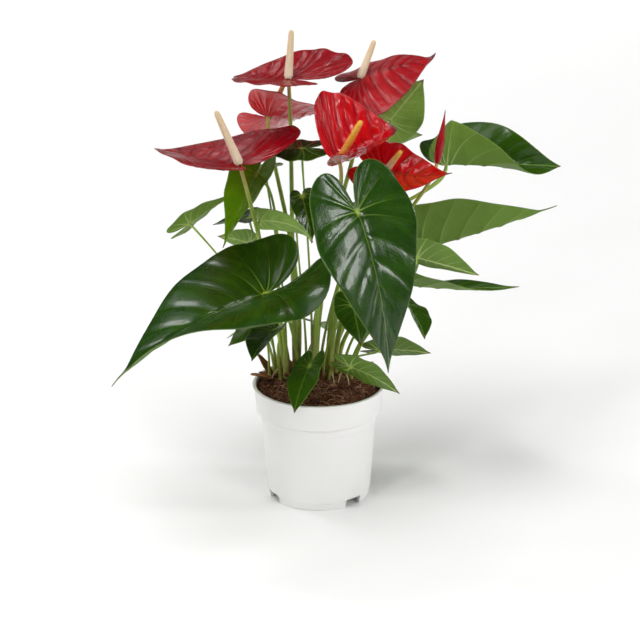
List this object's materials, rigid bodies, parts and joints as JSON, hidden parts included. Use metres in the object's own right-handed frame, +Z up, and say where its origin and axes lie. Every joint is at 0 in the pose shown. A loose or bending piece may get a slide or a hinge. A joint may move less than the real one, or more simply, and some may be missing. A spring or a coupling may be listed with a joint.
{
  "type": "potted anthurium",
  "caption": "Flamingo flower plant in a white nursery pot: glossy heart-shaped leaves, red spathes with cream spadices, on upright stems in soil.",
  "frame": {"origin": "on the surface that the pot stands on, below the middle of the whole plant's width and depth; the pot's axis is at x = -22 mm, y = 0", "axes": "+Z up; the front, which most blooms and leaves turn to, looks towards -Y; +X is to the right seen from the front"},
  "size_m": [0.3962, 0.3187, 0.4221],
  "materials": {
    "pot_plastic": "white injection-moulded plastic, soft satin",
    "potting_soil": "damp dark peat with coir fibres and small lumps",
    "leaf_green": "living leaf, dark green and waxy above, paler and matt below, lighter veins",
    "spathe_red": "living spathe, lacquered crimson, puckered between its veins, dull pink-red below",
    "spadix_cream": "cream to yellow rod of small florets",
    "flower_stalk": "smooth green stem, reddish towards the soil",
    "dry_sheath": "dry, brown, papery sheath"
  },
  "bodies": {
    "root": {"bloom_back_spadix": "spadix_cream", "bloom_back_spathe": "spathe_red", "bloom_back_stalk": "flower_stalk", "bloom_centre_spadix": "spadix_cream", "bloom_centre_spathe": "spathe_red", "bloom_centre_stalk": "flower_stalk", "bloom_left_spadix": "spadix_cream", "bloom_left_spathe": "spathe_red", "bloom_left_stalk": "flower_stalk", "bloom_low_spadix": "spadix_cream", "bloom_low_spathe": "spathe_red", "bloom_low_stalk": "flower_stalk", "bloom_right_spadix": "spadix_cream", "bloom_right_spathe": "spathe_red", "bloom_right_stalk": "flower_stalk", "bloom_top_spadix": "spadix_cream", "bloom_top_spathe": "spathe_red", "bloom_top_stalk": "flower_stalk", "bud_spathe": "spathe_red", "bud_stalk": "flower_stalk", "leaf_back_centre": "leaf_green", "leaf_back_left": "leaf_green", "leaf_back_low_left": "leaf_green", "leaf_back_low_right": "leaf_green", "leaf_back_right": "leaf_green", "leaf_behind_centre": "leaf_green", "leaf_behind_left_bloom": "leaf_green", "leaf_centre_curved": "leaf_green", "leaf_centre_low": "leaf_green", "leaf_dark_inner": "leaf_green", "leaf_edge_on": "leaf_green", "leaf_front_centre": "leaf_green", "leaf_front_left": "leaf_green", "leaf_left_away": "leaf_green", "leaf_left_inner": "leaf_green", "leaf_low_front": "leaf_green", "leaf_low_left_back": "leaf_green", "leaf_low_left_small": "leaf_green", "leaf_low_right_back": "leaf_green", "leaf_low_right_front": "leaf_green", "leaf_pale_right": "leaf_green", "leaf_rear_right_top": "leaf_green", "leaf_right_lower": "leaf_green", "leaf_right_middle": "leaf_green", "leaf_right_narrow": "leaf_green", "leaf_right_small": "leaf_green", "leaf_right_upper": "leaf_green", "leaf_yellow_green": "leaf_green", "pot": "pot_plastic", "sheath_left": "dry_sheath", "sheath_right": "dry_sheath", "sheath_upright": "dry_sheath", "soil": "potting_soil"}
  },
  "joints": []
}
